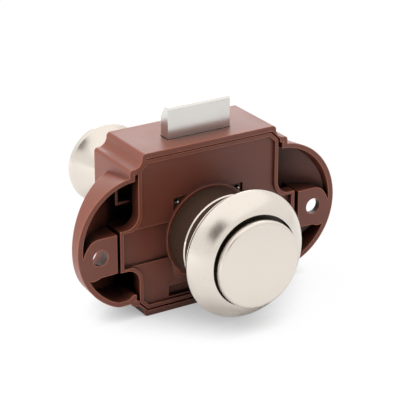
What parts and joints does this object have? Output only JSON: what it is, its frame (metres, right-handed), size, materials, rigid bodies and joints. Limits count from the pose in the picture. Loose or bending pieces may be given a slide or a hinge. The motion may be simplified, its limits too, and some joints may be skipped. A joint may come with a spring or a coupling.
{
  "type": "push button cabinet lock",
  "caption": "Brown surface cabinet lock with eared case, satin metal push button and rosette, bevelled dead bolt on top and flared rear pull knob.",
  "frame": {"origin": "on the button axis in the plane where the case meets the door, midway between the screw holes", "axes": "+X along the case, +Y into the cabinet (the button points to -Y), +Z the way the bolt throws"},
  "size_m": [0.0768, 0.0817, 0.0528],
  "materials": {
    "brown_plastic": "satin",
    "dark_plastic": "satin",
    "satin_nickel": "satin",
    "bolt_steel": "satin",
    "spring_steel": "bright"
  },
  "bodies": {
    "case": {"housing": "brown_plastic", "front_plate": "brown_plastic", "guide_sleeve": "dark_plastic", "sleeve_clip": "spring_steel", "rosette_shell": "satin_nickel", "rosette_hub": "dark_plastic", "rear_bush": "dark_plastic", "button_spring": "spring_steel", "follower_pivot_pin": "spring_steel"},
    "button": {"plunger": "dark_plastic", "button_core": "dark_plastic", "push_button": "satin_nickel", "button_screw": "spring_steel", "rear_stem": "dark_plastic", "rear_stud": "spring_steel", "rear_knob": "satin_nickel", "knob_cap": "satin_nickel", "knob_grub_screw": "spring_steel"},
    "bolt": {"latch_bolt": "bolt_steel", "bolt_slider": "dark_plastic", "bolt_rivets": "spring_steel", "cross_pin": "spring_steel"},
    "follower": {"heart_follower": "spring_steel", "follower_tip": "spring_steel"}
  },
  "joints": [
    {"name": "button_slide", "type": "slide", "parent": "case", "child": "button", "axis": [0, -1, 0], "range_m": [-0.001, 0.0085], "deforming": ["button_spring"]},
    {"name": "bolt_slide", "type": "slide", "parent": "case", "child": "bolt", "axis": [0, 0, -1], "range_m": [-0.001, 0.0085]},
    {"name": "follower_swing", "type": "hinge", "parent": "case", "child": "follower", "pos_m": [0, 0.0136, 0], "axis": [0, 0, 1], "range_deg": [-1.5, 11]}
  ],
  "couplings": [
    {"joint": "bolt_slide", "follows": "button_slide", "ratio": 1},
    {"joint": "follower_swing", "follows": "button_slide", "rad_per_m": 22}
  ]
}
